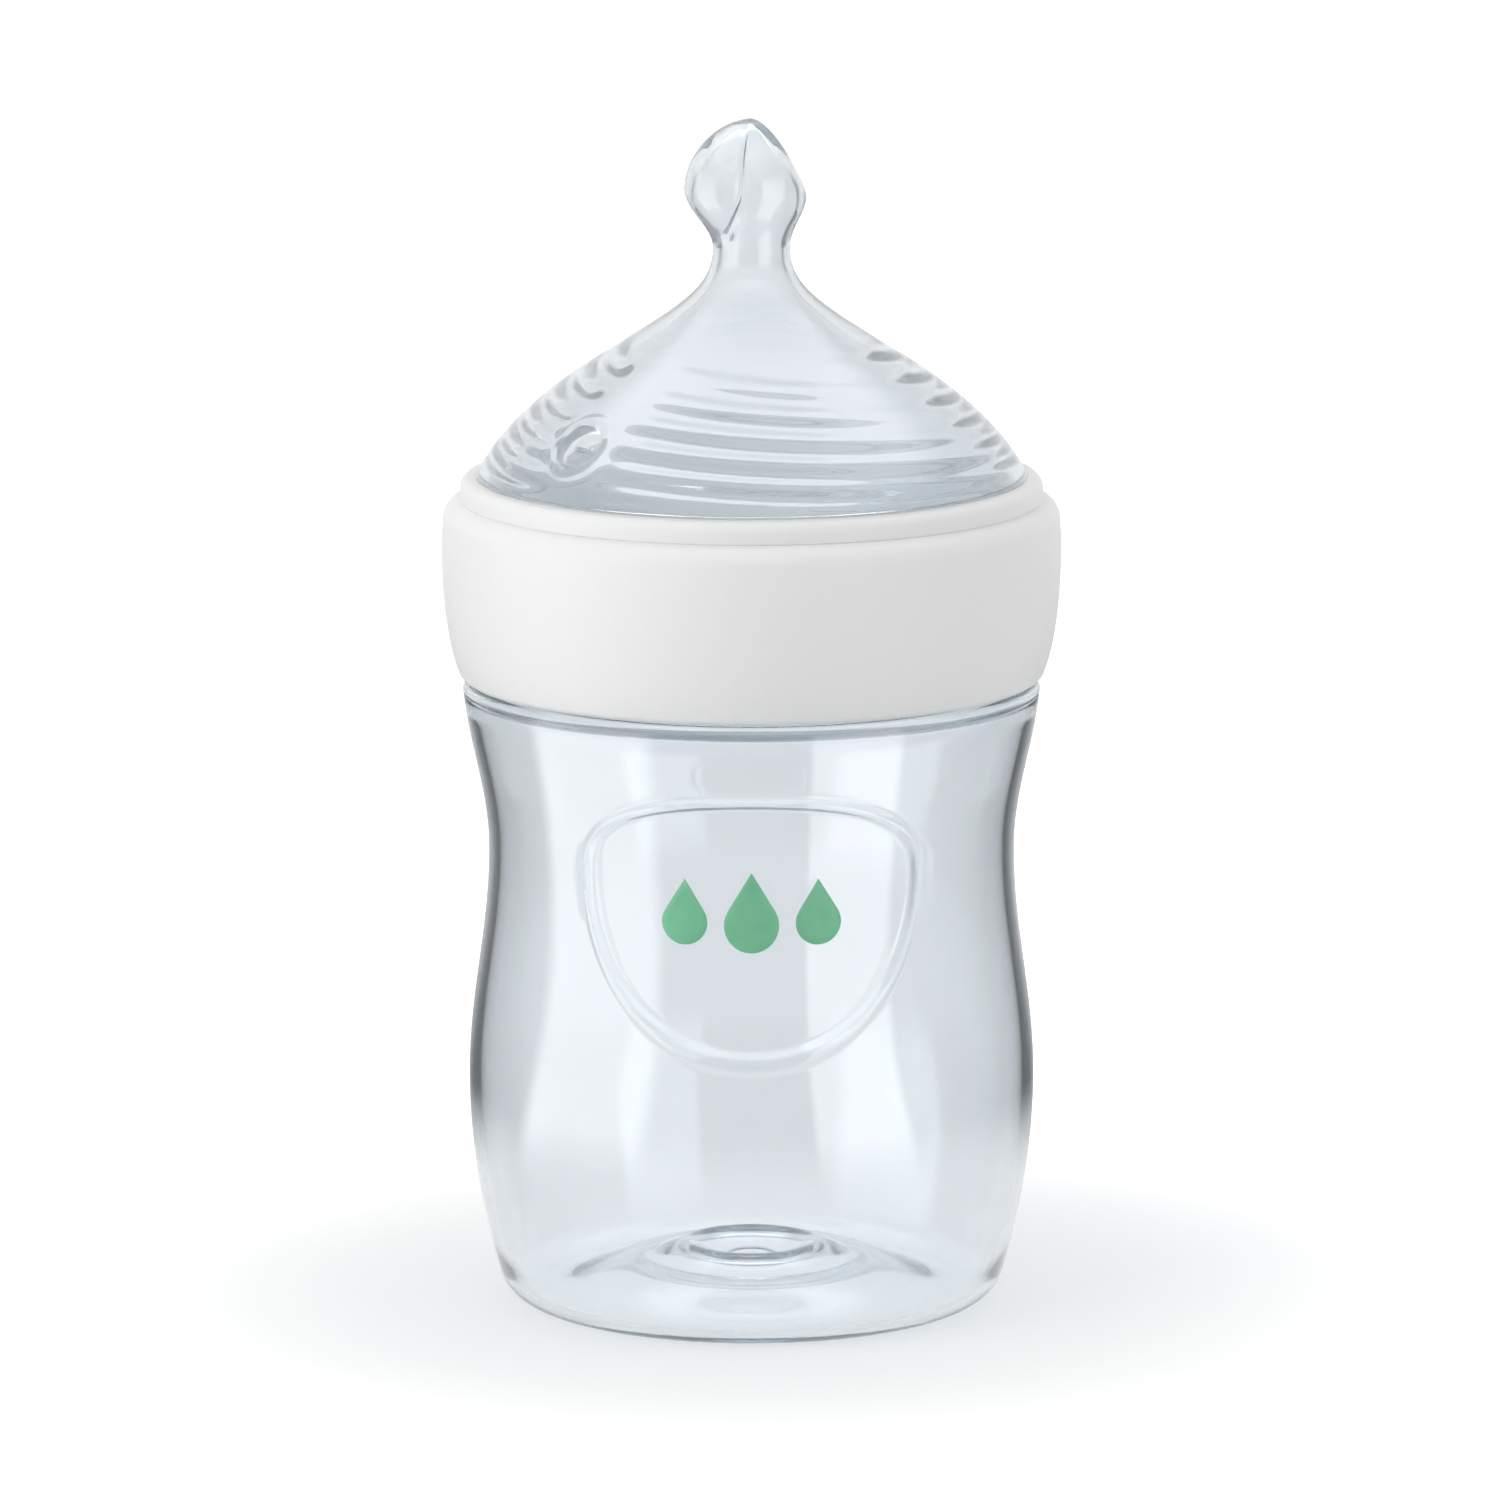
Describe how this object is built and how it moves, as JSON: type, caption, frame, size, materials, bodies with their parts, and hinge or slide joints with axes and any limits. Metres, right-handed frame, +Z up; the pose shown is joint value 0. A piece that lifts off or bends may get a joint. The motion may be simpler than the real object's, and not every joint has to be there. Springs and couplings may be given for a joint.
{
  "type": "baby bottle",
  "caption": "Wide-neck feeding bottle with a waisted clear body, a screw ring and a clear soft nipple with a vent and an offset teat.",
  "frame": {"origin": "centre of the foot, on the surface that the bottle stands on", "axes": "+Z up along the bottle's axis, -Y towards the printed front, +X to the right as seen from the front"},
  "size_m": [0.068, 0.068, 0.1312],
  "materials": {
    "clear_bottle": "clear glossy moulded plastic",
    "green_ink": "opaque screen print",
    "white_ring": "fine matte moulded plastic",
    "clear_silicone": "clear glossy silicone"
  },
  "bodies": {
    "bottle": {"bottle": "clear_bottle", "front_print": "green_ink"},
    "nipple": {"nipple": "clear_silicone"},
    "ring": {"screw_ring": "white_ring"}
  },
  "joints": [
    {"name": "nipple_lift", "type": "slide", "parent": "bottle", "child": "nipple", "axis": [0, 0, 1], "range_m": [0, 0.005]},
    {"name": "ring_turn", "type": "hinge", "parent": "nipple", "child": "ring", "pos_m": [0, 0, 0.08], "axis": [0, 0, 1], "range_deg": [0, 450]}
  ],
  "couplings": [
    {"joint": "nipple_lift", "follows": "ring_turn", "m_per_rad": 0.0006366}
  ]
}
